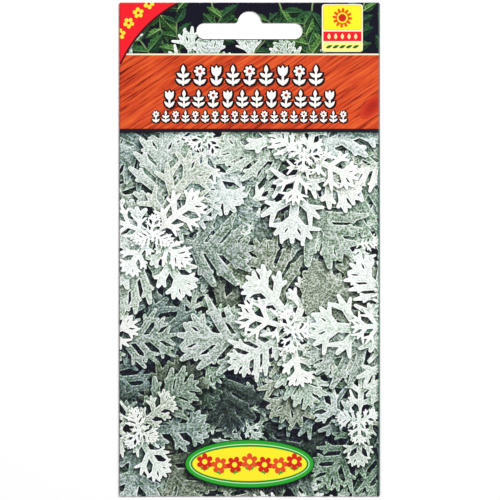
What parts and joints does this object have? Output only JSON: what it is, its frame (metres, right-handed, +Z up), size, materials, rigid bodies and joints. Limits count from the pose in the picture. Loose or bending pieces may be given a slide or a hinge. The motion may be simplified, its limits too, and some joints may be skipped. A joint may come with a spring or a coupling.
{
  "type": "seed packet",
  "caption": "Flat paper seed packet with folded end flaps, a euro slot punched through its glued head, and fine loose seeds inside.",
  "frame": {"origin": "on the surface that the packet lies on, under the middle of its outline", "axes": "+X to the right of the printed front, +Y up the packet towards the head with the hang slot, +Z up out of the printed front"},
  "size_m": [0.082, 0.1554, 0.0019],
  "materials": {
    "printed_paper": "coated and printed, semi-gloss",
    "seed": "dry, ribbed, matt"
  },
  "bodies": {
    "root": {"envelope": "printed_paper", "seeds": "seed"}
  },
  "joints": []
}
